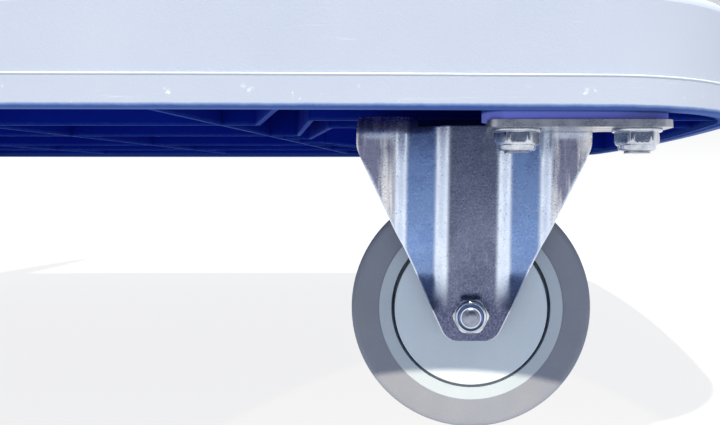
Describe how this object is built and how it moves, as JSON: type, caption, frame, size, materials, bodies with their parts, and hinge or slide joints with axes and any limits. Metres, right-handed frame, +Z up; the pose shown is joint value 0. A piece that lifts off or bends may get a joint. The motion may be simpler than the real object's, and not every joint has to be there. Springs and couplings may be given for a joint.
{
  "type": "platform trolley",
  "caption": "Platform trolley with a moulded deck, rigid front casters, braked swivel rear casters and a folding push handle.",
  "frame": {"origin": "on the floor under the middle of the deck", "axes": "+X towards the front, the end with the rigid casters; +Z up; the handle is at the -X end"},
  "size_m": [0.72, 0.44, 0.839],
  "materials": {
    "deck_blue": "moulded, fine grain",
    "bumper": "smooth moulded, lightly scuffed",
    "mat": "ribbed anti-slip",
    "zinc": "bright zinc plated pressing",
    "fastener": "bright zinc plated",
    "tyre": "matte grey tread",
    "hub": "moulded",
    "disc": "moulded",
    "bearing": "ground",
    "tube": "bright plated tube",
    "grip": "soft foam sleeve",
    "pedal": "moulded",
    "knob": "moulded"
  },
  "bodies": {
    "deck": {"deck_body": "deck_blue", "edge_bumper": "bumper", "deck_mat": "mat", "caster_bolts": "fastener", "caster_nuts": "fastener", "bracket_screws": "fastener", "right_hinge_bracket": "zinc", "left_hinge_bracket": "zinc", "pivot_pins": "fastener", "front_right_caster_plate": "zinc", "front_right_fork": "zinc", "front_right_axle_spacers": "fastener", "front_right_axle_bolt": "fastener", "front_right_axle_nut": "fastener", "rear_right_caster_plate": "zinc", "rear_right_swivel_race": "zinc", "rear_right_kingpin": "fastener", "front_left_caster_plate": "zinc", "front_left_fork": "zinc", "front_left_axle_spacers": "fastener", "front_left_axle_bolt": "fastener", "front_left_axle_nut": "fastener", "rear_left_caster_plate": "zinc", "rear_left_swivel_race": "zinc", "rear_left_kingpin": "fastener"},
    "handle": {"handle_tube": "tube", "cross_bar": "tube", "handle_grip": "grip"},
    "lock": {"lock_plunger": "knob"},
    "front_right_wheel": {"front_right_tyre": "tyre", "front_right_hub": "hub", "front_right_wheel_covers": "disc", "front_right_bearings": "bearing"},
    "rear_right_swivel": {"rear_right_fork": "zinc", "rear_right_axle_spacers": "fastener", "rear_right_axle_bolt": "fastener", "rear_right_axle_nut": "fastener"},
    "rear_right_wheel": {"rear_right_tyre": "tyre", "rear_right_hub": "hub", "rear_right_wheel_covers": "disc", "rear_right_bearings": "bearing"},
    "rear_right_pedal": {"rear_right_brake_pedal": "pedal"},
    "front_left_wheel": {"front_left_tyre": "tyre", "front_left_hub": "hub", "front_left_wheel_covers": "disc", "front_left_bearings": "bearing"},
    "rear_left_swivel": {"rear_left_fork": "zinc", "rear_left_axle_spacers": "fastener", "rear_left_axle_bolt": "fastener", "rear_left_axle_nut": "fastener"},
    "rear_left_wheel": {"rear_left_tyre": "tyre", "rear_left_hub": "hub", "rear_left_wheel_covers": "disc", "rear_left_bearings": "bearing"},
    "rear_left_pedal": {"rear_left_brake_pedal": "pedal"}
  },
  "joints": [
    {"name": "handle_fold", "type": "hinge", "parent": "deck", "child": "handle", "pos_m": [-0.3, 0, 0.197], "axis": [0, 1, 0], "range_deg": [0, 90]},
    {"name": "lock_slide", "type": "slide", "parent": "deck", "child": "lock", "axis": [0, 1, 0], "range_m": [0, 0.006]},
    {"name": "front_right_wheel_spin", "type": "hinge", "parent": "deck", "child": "front_right_wheel", "pos_m": [0.232, -0.16, 0.05], "axis": [0, 1, 0], "continuous": true},
    {"name": "rear_right_swivel_turn", "type": "hinge", "parent": "deck", "child": "rear_right_swivel", "pos_m": [-0.283, -0.138, 0.116], "axis": [0, 0, 1], "continuous": true},
    {"name": "rear_right_wheel_spin", "type": "hinge", "parent": "rear_right_swivel", "child": "rear_right_wheel", "pos_m": [-0.309, -0.138, 0.05], "axis": [0, 1, 0], "continuous": true},
    {"name": "rear_right_brake", "type": "hinge", "parent": "rear_right_swivel", "child": "rear_right_pedal", "pos_m": [-0.323, -0.138, 0.105], "axis": [0, -1, 0], "range_deg": [0, 8]},
    {"name": "front_left_wheel_spin", "type": "hinge", "parent": "deck", "child": "front_left_wheel", "pos_m": [0.232, 0.16, 0.05], "axis": [0, 1, 0], "continuous": true},
    {"name": "rear_left_swivel_turn", "type": "hinge", "parent": "deck", "child": "rear_left_swivel", "pos_m": [-0.283, 0.138, 0.116], "axis": [0, 0, 1], "continuous": true},
    {"name": "rear_left_wheel_spin", "type": "hinge", "parent": "rear_left_swivel", "child": "rear_left_wheel", "pos_m": [-0.309, 0.138, 0.05], "axis": [0, 1, 0], "continuous": true},
    {"name": "rear_left_brake", "type": "hinge", "parent": "rear_left_swivel", "child": "rear_left_pedal", "pos_m": [-0.323, 0.138, 0.105], "axis": [0, -1, 0], "range_deg": [0, 8]}
  ]
}
